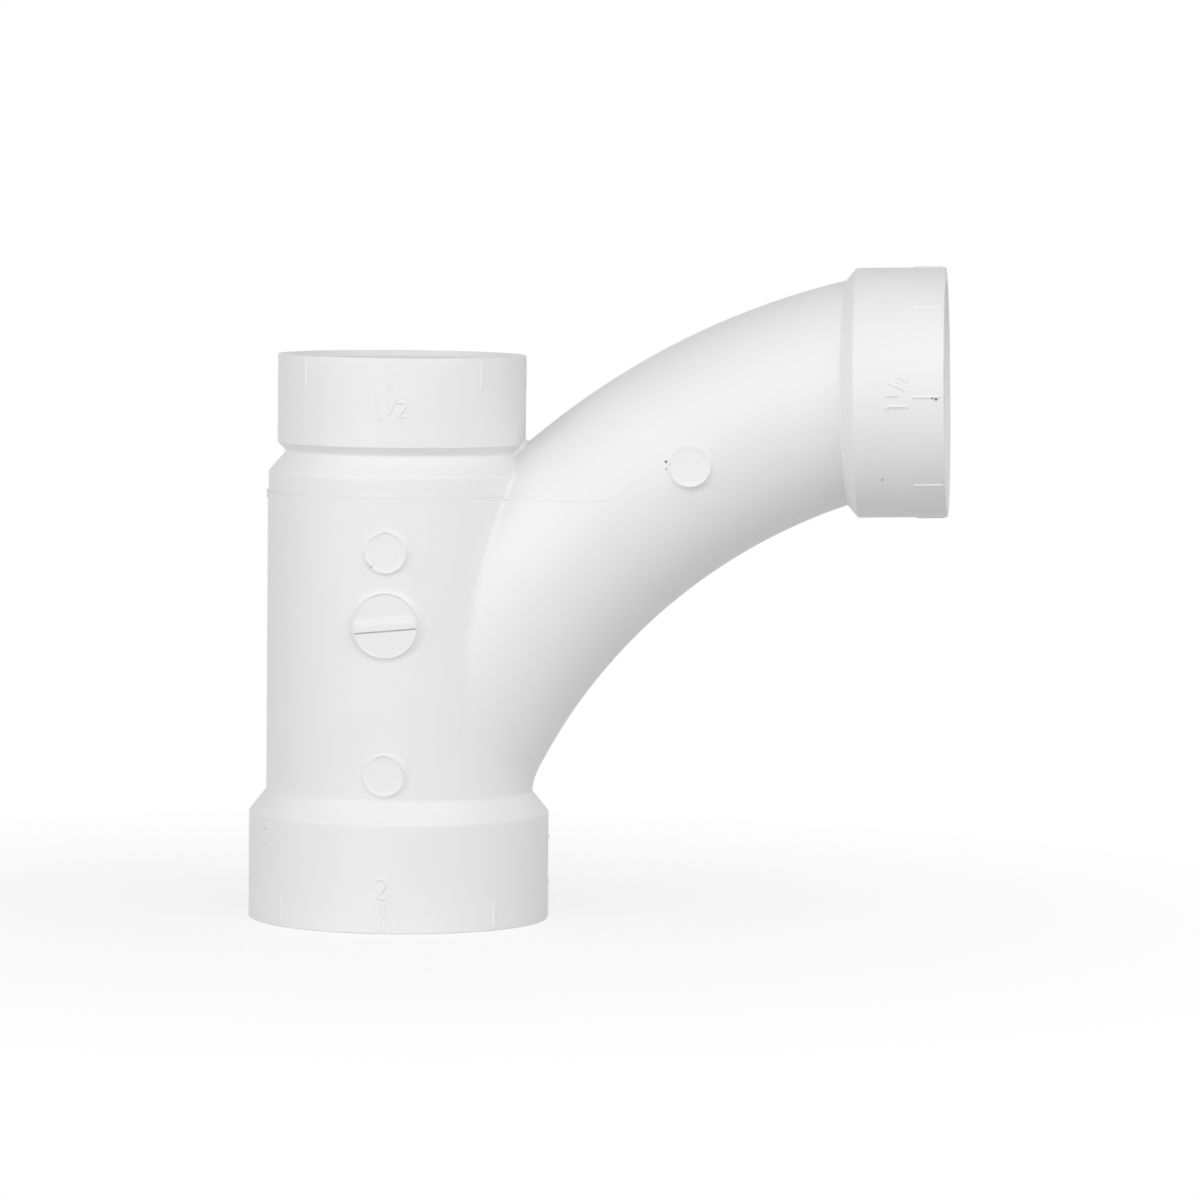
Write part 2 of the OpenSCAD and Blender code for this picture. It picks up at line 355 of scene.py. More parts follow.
class BranchSurface:
    """The swept branch: points and directions on tubes round the sweep's arc.

    A tube's point at an angle round it and an angle along the arc lies at
    centre + reach * (-cos along, sin along) in the XZ plane and at
    y = tube radius * sin(around), where the reach is the sweep's radius plus
    the tube's radius times cos(around). Around is 0 on the upper side.
    """

    def __init__(self, sizes: FittingSizes) -> None:
        """Keep the sizes that the branch depends on."""
        self.sizes = sizes
        self.x, self.z = sizes.sweep_centre
        pitch = math.radians(sizes.branch_pitch)
        self.axis = np.array([math.cos(pitch), 0, math.sin(pitch)])
        self.upward = np.array([-math.sin(pitch), 0, math.cos(pitch)])

    def point(self, tube_r: float, around: Array, along: Array) -> Array:
        """Give points on a tube of a radius, at angles round it and along the sweep."""
        reach = self.sizes.sweep_r + tube_r * np.cos(around)
        x, z = self.x - reach * np.cos(along), self.z + reach * np.sin(along)
        return stacked(x, tube_r * np.sin(around), z)

    def outward(self, around: Array, along: Array) -> Array:
        """Give the tube's outward directions at angles round it and along the sweep."""
        return stacked(-np.cos(around) * np.cos(along), np.sin(around), np.cos(around) * np.sin(along))

    def to_axis(self, points: Array) -> tuple[Array, Array, Array]:
        """Give points in the branch axis's own terms.

        Args:
            points: Points in millimetres.

        Returns:
            Distance along the axis, distance from it, and the angle round it.
        """
        away = points - np.array([0, 0, self.sizes.branch_axis_h])
        up = away @ self.upward
        return away @ self.axis, np.hypot(up, points[..., 1]), np.arctan2(points[..., 1], up)

    def from_axis(self, along: Array, radius: Array, angle: Array) -> Array:
        """Give points at distances along the branch's axis, from it and at angles round it."""
        centre = np.array([0, 0, self.sizes.branch_axis_h]) + along[..., None] * self.axis
        up, sideways = radius * np.cos(angle), radius * np.sin(angle)
        return centre + up[..., None] * self.upward + stacked(0.0, sideways, 0.0)


@dataclass
class FittingBody:
    """The whole moulding as one closed surface.

    The run is a profile turned about +Z. Where the branch joins it, each row of
    the run spans only the angles outside the joint, so the rows end exactly on
    the edge of the blend. The blend, the branch's tube, its hub and its bore
    share one set of stations round the joint.

    Attributes:
        sizes: Sizes of the fitting.
        columns: Steps round the run.
        station_step: Largest step between stations round the branch, in degrees.
        blend_steps: Steps across the blend.
        tube_steps: Steps along the branch.
        bore_steps: Steps along the branch's bore.
        row_step: Largest height of a row on the run's straight parts.
        arc_steps: Steps in each rounding of the run's outline.
        STATION_GAP: Least angle between the reducer's station and any other, in radians.
        ROW_GAP: Least height between the joint's edge and the next row of the run.
        ROW_SLACK: Length below the body's first row from which rows may get a station.
        CROTCH_GAP: Length of the run's outline at the crotch in which no row gets one.
        TUBE_LEAD: Angle along the sweep from the blend to where the shoulder is looked for.
        PAST_SHOULDER: Angle along the sweep that lies beyond the branch's shoulder.
        PAST_FLOOR: Angle along the sweep that lies beyond the branch socket's floor.
    """

    STATION_GAP = 1e-3
    ROW_GAP = 1e-4
    ROW_SLACK = 0.01
    CROTCH_GAP = 0.05
    TUBE_LEAD = 0.02
    PAST_SHOULDER = 1.9
    PAST_FLOOR = 2.2

    sizes: FittingSizes = field(default_factory=FittingSizes)
    columns: int = 160
    station_step: float = 2.5
    blend_steps: int = 12
    tube_steps: int = 60
    bore_steps: int = 40
    row_step: float = 3.0
    arc_steps: int = 8

    def __post_init__(self) -> None:
        """Work out the branch's surface, the run's outlines and the side that carries the blend.

        That side is the outline from the body upwards, and the body's cylinder
        goes on below it, inside the shoulder. The outward direction at a corner
        stands square to the line between its two neighbours.
        """
        self.branch = BranchSurface(self.sizes)
        self.outside = self._subdivided(self.sizes.run_outside(self.arc_steps))
        self.inside = self._subdivided(self.sizes.run_inside())
        body = self.outside[np.argmax(self.outside[1:, 0] < self.sizes.body_r + SAME) + 1 : -1]
        self.foot_z = body[0, 1]
        self.side = np.concatenate([[[self.sizes.body_r, self.sizes.inlet_hub_len / 2]], body])
        forward = np.gradient(self.side, axis=0)
        self.facing = unit(stacked(forward[:, 1], -forward[:, 0]))
        self.way = lengths_along(self.side)

    def _subdivided(self, chain: Array) -> Array:
        """Split the long steps of an outline so that none is above the row step."""
        pieces = [chain[:1]]
        for start, end in zip(chain[:-1], chain[1:]):
            count = max(1, math.ceil(float(np.linalg.norm(end - start)) / self.row_step))
            pieces.append(start + np.linspace(0, 1, count + 1)[1:, None] * (end - start))
        return np.concatenate(pieces)

    def _side_at(self, way: Array) -> tuple[Array, Array]:
        """Give the run's side at ways along its outline: points and outward directions, as [r, z]."""
        point, facing = (
            stacked(*(np.interp(way, self.way, part) for part in line.T))
            for line in (self.side, self.facing)
        )
        return point, unit(facing)

    def _outside_r(self, z: Array) -> Array:
        """Give the run's outside radius at heights."""
        return np.interp(z, self.outside[1:-1, 1], self.outside[1:-1, 0])

    def _inside_r(self, z: Array) -> Array:
        """Give the run's inside radius at heights, between the two socket floors."""
        wall = self.inside[self.inside[:, 0] <= self.sizes.inlet_bore_r + SAME]
        return np.interp(z, wall[:, 1], wall[:, 0])

    def _ball_r(self, around: Array) -> Array:
        """Give the blend's radius at angles round the branch.

        To the share that is the same all round comes one that grows towards the
        throat with the fourth power of the sine of half the angle, and one that
        grows towards the crotch with the eighth power of its cosine.
        """
        sizes, half = self.sizes, around / 2
        throat = (sizes.throat_r - sizes.joint_r) * np.sin(half) ** 4
        crotch = (sizes.crotch_r - sizes.joint_r) * np.cos(half) ** 8
        return sizes.joint_r + throat + crotch

    def _ball(self, around: Array, way: Array) -> tuple[Array, Array, Array]:
        """Rest the blend's ball on the run's side, beside the branch.

        The ball's centre lies its radius away from the side. At that height the
        tube that is wider by the ball's radius passes x = arc centre -
        sqrt(reach^2 - height^2), with the height counted from the arc's centre.

        Args:
            around: Angles round the branch at which the ball may touch it.
            way: Ways along the run's outline at which the ball touches the run.

        Returns:
            How far the ball's centre lies beyond that tube, the centres of the
            balls, and their angles along the sweep.
        """
        ball_r = self._ball_r(around)
        point, facing = self._side_at(way)
        centre = point + ball_r[:, None] * facing
        reach = self.sizes.sweep_r + (self.sizes.branch_r + ball_r) * np.cos(around)
        y = (self.sizes.branch_r + ball_r) * np.sin(around)
        x = np.sqrt(np.clip(centre[:, 0] ** 2 - y**2, 0, None))
        height = centre[:, 1] - self.branch.z
        beyond = x - self.branch.x + np.sqrt(np.clip(reach**2 - height**2, 0, None))
        return beyond, stacked(x, y, centre[:, 1]), np.arcsin(np.clip(height / reach, -1, 1))

    def _way_at(self, around: Array) -> Array:
        """Find the ways along the run's outline at which the ball touches run and branch."""
        return bisect(lambda way: self._ball(around, way)[0], np.zeros(around.shape), self.way[-1])

    def _stations(self) -> tuple[Array, Array]:
        """Choose the stations round the branch, from the throat to the crotch.

        Every row of the run's outline that crosses the joint gets a station,
        and so does the reducer's edge inside; the gaps between them are filled
        with evenly spaced ones.

        Returns:
            Angles round the branch, falling from pi to 0, and their ways along
            the run's outline.
        """
        ends = self._way_at(np.array([math.pi, 0.0]))
        above = max(ends[0], self.way[1] - self.ROW_SLACK)
        rows = self.way[(self.way > above) & (self.way < ends[1] - self.CROTCH_GAP)]
        at_rows = bisect(lambda turn: self._ball(turn, rows)[0], np.zeros(rows.shape), math.pi)
        reducer_z = self.inside[np.isclose(self.inside[:, 0], self.sizes.inlet_bore_r), 1].max()
        reducer = bisect(lambda a: self._bore_end(a)[0][..., 2] - reducer_z, np.zeros(1), math.pi)
        fixed = np.concatenate([[math.pi], at_rows[::-1], [0.0]])
        if np.abs(fixed - reducer).min() > self.STATION_GAP:
            fixed = np.concatenate([fixed, reducer])
        fixed = np.unique(fixed)
        free = [reducer, [math.pi, 0.0]]
        for start, end in zip(fixed[:-1], fixed[1:]):
            count = max(1, math.ceil((end - start) / math.radians(self.station_step)))
            free.append(np.linspace(start, end, count + 1)[1:-1])
        free = np.concatenate(free)
        around = np.concatenate([at_rows, free])
        way = np.concatenate([rows, self._way_at(free)])
        order = np.argsort(way)
        return around[order], way[order]

    def _bore_end(self, around: Array) -> tuple[Array, Array]:
        """Find where the branch's bore opens into the run's.

        Args:
            around: Angles round the branch.

        Returns:
            The points on the edge, and their angles along the sweep.
        """
        bore_r = self.sizes.outlet_bore_r

        def inside_run(along: Array) -> Array:
            """Tell how far the bore's points lie inside the run's wall."""
            point = self.branch.point(bore_r, around, along)
            return self._inside_r(point[..., 2]) - np.hypot(point[..., 0], point[..., 1])

        reach = self.sizes.sweep_r + bore_r * np.cos(around)
        first = np.arccos(np.clip(self.branch.x / reach, -1, 1))
        along = bisect(inside_run, first, math.pi / 2)
        return self.branch.point(bore_r, around, along), along

    def _turned(self, chain: Array, openings: Array) -> Array:
        """Turn an outline about +Z, leaving out an opening in each row.

        A row's points stand at the angle opening + (full turn - 2 * opening) *
        share, with the share going evenly from 0 to 1.

        Args:
            chain: Outline as [r, z].
            openings: Half of the angle that each row leaves open, in radians.

        Returns:
            Points as rows x columns x 3.
        """
        share = np.linspace(0, 1, self.columns + 1)
        angle = openings[:, None] + (FULL_TURN - 2 * openings[:, None]) * share
        return stacked(chain[:, :1] * np.cos(angle), chain[:, :1] * np.sin(angle), chain[:, 1:])

    def _run_rows(self, chain: Array, edge: Array) -> tuple[Array, Array]:
        """Merge an outline's rows with the rows that the joint's edge needs.

        Args:
            chain: Outline as [r, z], going up.
            edge: Points of the joint's edge on one side, going up.

        Returns:
            The outline with the edge's rows, and each row's half opening.
        """
        below = chain[chain[:, 1] < edge[0, 2] - self.ROW_GAP]
        above = chain[chain[:, 1] > edge[-1, 2] + self.ROW_GAP]
        middle = stacked(np.hypot(edge[:, 0], edge[:, 1]), edge[:, 2])
        openings = np.pad(np.arctan2(edge[:, 1], edge[:, 0]), (len(below), len(above)))
        return np.concatenate([below, middle, above]), openings

    def _blend(
        self, ball_r: Array, run_edge: Array, run_normal: Array, branch_edge: Array, branch_normal: Array
    ) -> Array:
        """Span the blend between its two edges.

        Each section is a cubic curve that leaves both surfaces along their
        tangents. With handles of 4/3 tan(bend / 4) times the ball's radius it
        follows the ball's arc. Beside the shoulder a section starts where it
        comes out of the shoulder.

        Args:
            ball_r: Radii of the ball.
            run_edge: Edge of the blend on the run.
            run_normal: The run's outward directions there.
            branch_edge: Edge of the blend on the branch.
            branch_normal: The branch's outward directions there.

        Returns:
            Points as stations x steps x 3.
        """
        chord = branch_edge - run_edge
        bend = np.arccos(np.clip(np.sum(run_normal * branch_normal, axis=-1), -1, 1))
        handle = (4 / 3 * np.tan(bend / 4) * ball_r)[:, None]
        leave, arrive = (
            unit(chord - normal * np.sum(chord * normal, axis=-1, keepdims=True))
            for normal in (run_normal, branch_normal)
        )
        first, last = run_edge + leave * handle, branch_edge - arrive * handle

        def section(share: Array) -> Array:
            """Give the points at shares of each section."""
            t = share[..., None]
            return (
                (1 - t) ** 3 * run_edge[:, None]
                + 3 * (1 - t) ** 2 * t * first[:, None]
                + 3 * (1 - t) * t**2 * last[:, None]
                + t**3 * branch_edge[:, None]
            )

        def buried(share: Array) -> Array:
            """Tell how deep a section's points lie inside the run."""
            point = section(share[:, None])[:, 0]
            return self._outside_r(point[:, 2]) - np.hypot(point[:, 0], point[:, 1])

        start = bisect(buried, np.zeros(len(run_edge)), 0.5)
        start = np.where(run_edge[:, 2] < self.foot_z - SAME, start, 0)[:, None]
        return section(start + (1 - start) * np.linspace(0, 1, self.blend_steps + 1))

    @staticmethod
    def _both_sides(half: Array) -> Array:
        """Mirror a half that ends on the XZ plane at both ends into a closed ring of stations."""
        return np.concatenate([half, half[-2::-1] * [1, -1, 1]])

    def patches(self) -> Patchwork:
        """Work out every patch of the moulding.

        Returns:
            The patches, ready to be sewn.
        """
        around, way = self._stations()
        _, centres, along = self._ball(around, way)
        turn = np.arctan2(centres[:, 1], centres[:, 0])
        run_edge, run_normal = (
            stacked(part[:, 0] * np.cos(turn), part[:, 0] * np.sin(turn), part[:, 1])
            for part in self._side_at(way)
        )
        branch_edge = self.branch.point(self.sizes.branch_r, around, along)
        bore_edge, bore_along = self._bore_end(around)
        for edge in (run_edge, branch_edge, bore_edge):
            edge[[0, -1], 1] = 0
        branch_normal = self.branch.outward(around, along)
        blend = self._blend(self._ball_r(around), run_edge, run_normal, branch_edge, branch_normal)
        work = Patchwork()
        work.add(self._turned(*self._run_rows(self.outside, blend[:, 0])))
        work.add(self._turned(*self._run_rows(self.inside, bore_edge)))
        work.add(self._both_sides(blend))
        self._add_branch(work, around, along, bore_along)
        return work

    def _add_branch(self, work: Patchwork, around: Array, start: Array, bore_start: Array) -> None:
        """Add the branch's tube, its hub with the socket, and its bore.

        Args:
            work: The patches so far.
            around: Angles round the branch.
            start: Angles along the sweep at which the tube leaves the blend.
            bore_start: Angles along the sweep at which the bore leaves the run.
        """
        sizes, branch = self.sizes, self.branch
        hub = sizes.branch_hub()
        cone = (hub[1, 0] - hub[0, 0]) / (hub[1, 1] - hub[0, 1])

        def before_shoulder(along: Array) -> Array:
            """Tell how far the tube's points stand above the shoulder's cone."""
            s, distance, _ = branch.to_axis(branch.point(sizes.branch_r, around, along))
            return distance - (hub[0, 0] + cone * (s - hub[0, 1]))

        def before_floor(along: Array) -> Array:
            """Tell how far the bore's points lie before the socket's floor."""
            return sizes.socket_floor_s - branch.to_axis(branch.point(sizes.outlet_bore_r, around, along))[0]

        def swept(tube_r: float, first: Array, last: Array, steps: int) -> Array:
            """Give a tube's points between two angles along the sweep, as stations x steps x 3."""
            along = first[:, None] + (last - first)[:, None] * np.linspace(0, 1, steps + 1)
            return branch.point(tube_r, around[:, None], along)

        tube_end = bisect(before_shoulder, start + self.TUBE_LEAD, self.PAST_SHOULDER)
        bore_end = bisect(before_floor, bore_start, self.PAST_FLOOR)
        tube = swept(sizes.branch_r, start, tube_end, self.tube_steps)
        angle = branch.to_axis(tube[:, -1])[2]
        hub_grid = branch.from_axis(hub[1:, 1], hub[1:, 0], angle[:, None])
        bore = swept(sizes.outlet_bore_r, bore_end, bore_start, self.bore_steps)
        column = np.concatenate([tube, hub_grid, bore], axis=1)
        column[[0, -1], :, 1] = 0
        work.add(self._both_sides(column))


# Marks


@dataclass(frozen=True)
class HubFrame:
    """A round hub's own directions: along its axis, away from it and round it.

    Attributes:
        centre: A point on the axis.
        axis: Direction of the axis.
        zero: Direction at angle nothing.
        quarter: Direction at a quarter turn.
        radius: Outside radius of the hub.
    """

    centre: tuple[float, float, float]
    axis: tuple[float, float, float]
    zero: tuple[float, float, float]
    quarter: tuple[float, float, float]
    radius: float

    def place(self, along: Array, angle: Array, height: Array) -> Array:
        """Give points at distances along the axis, at angles round it and at heights above the hub."""
        ring = np.cos(angle)[..., None] * np.array(self.zero)
        ring = ring + np.sin(angle)[..., None] * np.array(self.quarter)
        on_axis = np.array(self.centre) + along[..., None] * np.array(self.axis)
        return on_axis + (self.radius + height)[..., None] * ring

    def wrap(self, along: float, angle: float) -> Wrap:
        """Wrap flat marks on the hub, with their origin at this place."""
        return lambda across, up, level: self.place(along + up, angle + across / self.radius, level)


def bead(path: Array, width: float, height: float, root: float, place: Wrap, sides: int = 12) -> Array:
    """Lay a raised bead with round ends along a flat path and wrap it on a surface.

    Across the path the bead goes round as offset = half width * cos and level =
    height * sin, with the root's depth in place of the height on the lower
    half. At each end both shrink as the square root of one minus the square of
    the way into the end, so that the end is round.

    Args:
        path: Points of the path as [across, up], evenly spaced.
        width: Width of the bead.
        height: Height of the bead above the surface.
        root: Depth of the bead's root below the surface.
        place: Gives points from across, up and level.
        sides: Steps round the bead.

    Returns:
        Points as path steps x sides x 3, closed at both ends.
    """
    steps = np.gradient(path, axis=0)
    normal = unit(stacked(-steps[:, 1], steps[:, 0]))
    run = lengths_along(path)
    into = np.clip(1 - np.minimum(run, run[-1] - run) / (width / 2), 0, 1)
    swell = np.sqrt(1 - into**2)[:, None]
    turn = np.linspace(0, FULL_TURN, sides + 1)[None]
    offset = width / 2 * swell * np.cos(turn)
    level = swell * np.where(np.sin(turn) > 0, height, root) * np.sin(turn)
    return place(path[:, :1] + normal[:, :1] * offset, path[:, 1:] + normal[:, 1:] * offset, level)


@dataclass(frozen=True)
class Burr:
    """Crumb of flash on the rim of a round mark.

    Attributes:
        angle: Place of its middle round the mark, in degrees.
        spread: Half of its length round the mark, in degrees.
        height: Height above the rim, in millimetres.
    """

    angle: float
    spread: float
    height: float

    def bell(self, turn: Array) -> Array:
        """Give the burr's height at angles round the mark: a bell, cut by 47 notches in a turn."""
        off = np.angle(np.exp(1j * (turn - math.radians(self.angle))))
        bell = np.exp(-((off / math.radians(self.spread)) ** 2))
        return self.height * bell * (0.55 + 0.45 * np.cos(47 * turn))


@dataclass(frozen=True)
class RoundMark:
    """Round mark that stands out of a surface, with a fine rim and a flared skirt.

    Attributes:
        centre: X and Z of the mark's centre.
        radius: Radius of the mark.
        proud: Height of its face above the surface at its centre.
        tilt: Rise of the face for each millimetre along X and along Z.
        recess: Depth of the floor inside the rim.
        rim_height: Height of the rim above the face.
        rim_width: Width of the rim.
        ragged: Share by which the rim's height changes round the mark.
        burrs: Crumbs of flash on the rim.
        wall: Share of the mark's height that drops off straight at its edge.
        skirt: Width of the skirt where the mark has no height.
        flare: Growth of the skirt's width for each millimetre of the mark's height.
        bury: Depth of the mark's outline under the surface.
        steps: Steps round the mark.
        RIM: Outline of the rim, going outwards, as shares of its width and of its height.
        LEAST_DROP: Least height of the mark's edge above the surface.
        EDGE: Width of the straight drop at the mark's edge.
        FACE_ROWS: Rows of the face.
        SKIRT_ROWS: Rows of the skirt.
    """

    RIM = ((0.0, 0.0), (0.45, 1.0), (0.7, 1.0), (1.0, 0.6))
    LEAST_DROP = 0.03
    EDGE = 0.05
    FACE_ROWS = 5
    SKIRT_ROWS = 9

    centre: tuple[float, float]
    radius: float
    proud: float = 0.28
    tilt: tuple[float, float] = (0.0, 0.0)
    recess: float = 0.0
    rim_height: float = 0.1
    rim_width: float = 0.5
    ragged: float = 0.6
    burrs: tuple[Burr, ...] = ()
    wall: float = 0.65
    skirt: float = 0.5
    flare: float = 1.0
    bury: float = 0.5
    steps: int = 180

    def face(self, x: Array, z: Array, surface: Surface) -> Array:
        """Give the level of the mark's face: a tilted plane through its centre."""
        base = float(surface(np.array(self.centre[0]), np.array(self.centre[1]))) + self.proud
        return base + self.tilt[0] * (x - self.centre[0]) + self.tilt[1] * (z - self.centre[1])

    def _rim(self, turn: Array) -> Array:
        """Give the rim's height: three waves, as a share of their full sum, and the burrs."""
        wave = np.cos(turn + 0.7) + 0.5 * np.cos(5 * turn + 1.3) + 0.35 * np.cos(11 * turn)
        height = self.rim_height * (1 + self.ragged * wave / 1.85)
        return height + sum(burr.bell(turn) for burr in self.burrs)

    def grid(self, surface: Surface) -> Array:
        """Work out the mark's surface, facing -Y.

        The rows go outwards: the face, the rim's crest, the straight drop and
        the skirt, whose height falls as (1 - t)^2. Then the outline dips under
        the surface and closes behind it.

        Args:
            surface: Gives the distance of the carrier's front before the XZ plane.

        Returns:
            Points as outline steps x steps round x 3.
        """
        turn = np.linspace(0, FULL_TURN, self.steps + 1)
        rim = self._rim(turn)
        rows = []

        def add(radius: Array | float, level: Surface) -> None:
            """Add the row at a radius, at the level that its X and Z give."""
            x = self.centre[0] + radius * np.cos(turn)
            z = self.centre[1] + radius * np.sin(turn)
            rows.append((x, z, level(x, z) + 0 * turn))

        def above_face(height: Array | float) -> Surface:
            """Give the level at a height above the face."""
            return lambda x, z: self.face(x, z, surface) + height

        inner = self.radius - self.rim_width
        for share in np.linspace(0, 1, self.FACE_ROWS):
            add(share * inner, above_face(-self.recess))
        for outwards, height in self.RIM:
            add(inner + outwards * self.rim_width, above_face(height * rim))
        x, z, crest = rows[-1]
        drop = np.maximum(crest - surface(x, z), self.LEAST_DROP)
        foot, width = self.radius + self.EDGE, self.skirt + self.flare * drop
        for share in np.linspace(0, 1, self.SKIRT_ROWS):
            left = (1 - self.wall) * drop * (1 - share) ** 2
            add(foot + width * share, lambda x, z, left=left: surface(x, z) + left)
        add(foot + width, lambda x, z: surface(x, z) - self.bury)
        deepest = float(rows[-1][2].min())
        add(0.0, lambda x, z: deepest)
        x, z, depth = (np.array(part) for part in zip(*rows))
        return stacked(x, -depth, z)


class Glyph(Enum):
    """Figures and signs in a box one high, as strokes of [across, up] corners."""

    ONE = (((0.0, 0.0), (0.0, 1.0)), ((0.0, 1.0), (-0.2, 0.86)), ((-0.13, 0.0), (0.13, 0.0)))
    TWO = (
        ((0.03, 0.8), (0.12, 0.94), (0.3, 1.0), (0.5, 0.93), (0.58, 0.76), (0.5, 0.56), (0.03, 0.0),
         (0.63, 0.0)),
    )
    SLASH = (((0.0, 0.0), (0.48, 1.0)),)


@dataclass
class MouldMarks:
    """Fine marks of the mould on the moulding's surface.

    Attributes:
        sizes: Sizes of the fitting.
        pin_r: Radius of the pin marks.
        medallion_r: Radius of the medallion.
        medallion_z: Height of the medallion's centre.
        medallion_tilt: Tilt of the medallion's step, in degrees.
        medallion_drop: Distance of the step below the medallion's centre.
        step_height: Height of the step above the medallion's face.
        shelf: Width of the flat shelf above the step.
        ramp: Width of the ramp from the shelf back down to the face.
        slot: Width of the slot at the step's foot.
        plate_lap: How far the medallion's plates reach into its rim.
        plate_root: Depth of the plates' backs below the medallion's floor.
        plate_step: Largest step along a plate's section.
        chord_steps: Steps across a plate.
        rib_count: Alignment ribs round each hub.
        rib_turn: Turn of the run's ribs from the branch's side, in degrees.
        rib_root: Depth of the ribs' roots.
        rib_steps: Steps along a rib.
        stroke: Width of the figures' strokes.
        stroke_step: Largest step along a stroke.
        root: Depth of the roots of strokes, line and nubs.
    """

    sizes: FittingSizes = field(default_factory=FittingSizes)
    pin_r: float = 4.7
    medallion_r: float = 7.35
    medallion_z: float = 68.7
    medallion_tilt: float = 5.5
    medallion_drop: float = 1.05
    step_height: float = 0.28
    shelf: float = 1.3
    ramp: float = 1.8
    slot: float = 0.32
    plate_lap: float = 0.01
    plate_root: float = 0.2
    plate_step: float = 0.25
    chord_steps: int = 48
    rib_count: int = 8
    rib_turn: float = 0.8
    rib_root: float = 0.4
    rib_steps: int = 48
    stroke: float = 0.72
    stroke_step: float = 0.12
    root: float = 0.3

    def __post_init__(self) -> None:
        """Work out the hubs' frames."""
        sizes, self.branch = self.sizes, BranchSurface(self.sizes)
        self.lower, self.upper, self.body = (
            HubFrame((0, 0, 0), (0, 0, 1), (1, 0, 0), (0, 1, 0), radius)
            for radius in (sizes.inlet_hub_r, sizes.outlet_hub_r, sizes.body_r)
        )
        axis, upward = tuple(self.branch.axis), tuple(self.branch.upward)
        self.side = HubFrame((0, 0, sizes.branch_axis_h), axis, upward, (0, -1, 0), sizes.outlet_hub_r)

    def _run_front(self, x: Array, z: Array) -> Array:
        """Give how far the run's body stands before the XZ plane."""
        return np.sqrt(np.clip(self.sizes.body_r**2 - x**2, 0, None)) + 0 * z

    def _branch_front(self, x: Array, z: Array) -> Array:
        """Give how far the swept branch stands before the XZ plane."""
        off = np.hypot(x - self.branch.x, z - self.branch.z) - self.sizes.sweep_r
        return np.sqrt(np.clip(self.sizes.branch_r**2 - off**2, 0, None))

    def _joint_front(self, x: Array, z: Array) -> Array:
        """Give the front of whichever stands further out, the run or the branch."""
        return np.maximum(self._run_front(x, z), self._branch_front(x, z))

    def pin_marks(self) -> Patchwork:
        """Work out the three pin marks, each with its own tilt and crumbs of flash."""
        lean = (0.045, -0.012)
        upper_burrs = (Burr(92, 20, 0.3), Burr(135, 9, 0.2), Burr(216, 14, 0.4))
        lower_burrs = (Burr(97, 16, 0.26), Burr(18, 22, 0.22), Burr(240, 10, 0.18))
        branch_burrs = (Burr(176, 9, 0.3), Burr(198, 5, 0.2))
        work = Patchwork()
        for centre, tilt, burrs, surface in (
            ((0.0, 85.0), lean, upper_burrs, self._run_front),
            ((0.0, 35.1), lean, lower_burrs, self._run_front),
            ((67.3, 105.0), (0.03, -0.04), branch_burrs, self._branch_front),
        ):
            work.add(RoundMark(centre, self.pin_r, tilt=tilt, burrs=burrs).grid(surface))
        return work

    def medallion(self) -> Patchwork:
        """Work out the medallion: a rimmed disc whose floor carries two plates.

        The lower plate is flat. The upper one, beyond a narrow slot, starts in
        a step, runs on as a flat shelf and ramps down to the level of the other.
        Both stop just short of the circle's ends, where a chord has no length.
        """
        disc = RoundMark(
            (0.0, self.medallion_z), self.medallion_r, proud=0.35, recess=0.45, rim_height=0.2,
            rim_width=0.34, ragged=0.2, wall=0.45, skirt=0.7, flare=0.9,
        )
        work = Patchwork()
        work.add(disc.grid(self._run_front))
        inner = self.medallion_r - disc.rim_width + self.plate_lap
        step, top, height = -self.medallion_drop, inner * 0.999, self.step_height
        shelf_end = step + self.shelf
        upper = [(step, height), (shelf_end, height), (shelf_end + self.ramp, 0.0), (top, 0.0)]
        lower = [(-top, 0.0), (step - self.slot, 0.0)]
        for outline in (upper, lower):
            for patch in self._plate(np.array(outline), inner, disc):
                work.add(patch)
        return work

    def _plate(self, outline: Array, inner: float, disc: RoundMark) -> list[Array]:
        """Work out a plate that fills a part of the medallion's disc.

        Each row is a chord of the inner circle, square to the outline. Its
        level falls off near its ends as one minus the twelfth power of the
        share of the way from its middle.

        Args:
            outline: Corners of the plate's section as [up, level], going up.
            inner: Radius of the circle that bounds the plate.
            disc: The medallion's disc.

        Returns:
            The plate's patches, closed when sewn.
        """
        rows = np.concatenate([resampled(outline, self.plate_step), outline[1:-1]])
        rows = rows[np.argsort(rows[:, 0], kind="stable")]
        side = np.sin(np.linspace(-math.pi / 2, math.pi / 2, self.chord_steps + 1))
        up = np.repeat(rows[:, :1], len(side), axis=1)
        across = np.sqrt(np.clip(inner**2 - up**2, 0, None)) * side
        back = np.full((1, len(side)), -disc.recess - self.plate_root)
        level = np.concatenate([back, rows[:, 1:] * (1 - side**12), back, back])
        across, up = (np.concatenate([part[:1], part, part[-1:], part[:1]]) for part in (across, up))
        tilt = math.radians(self.medallion_tilt)
        x = across * math.cos(tilt) - up * math.sin(tilt)
        z = self.medallion_z + across * math.sin(tilt) + up * math.cos(tilt)
        block = stacked(x, -disc.face(x, z, self._run_front) - level, z)
        ends = (block[:, 0], block[:, -1])
        return [block, *(np.stack([end, 0 * end + end.mean(axis=0)], axis=1) for end in ends)]

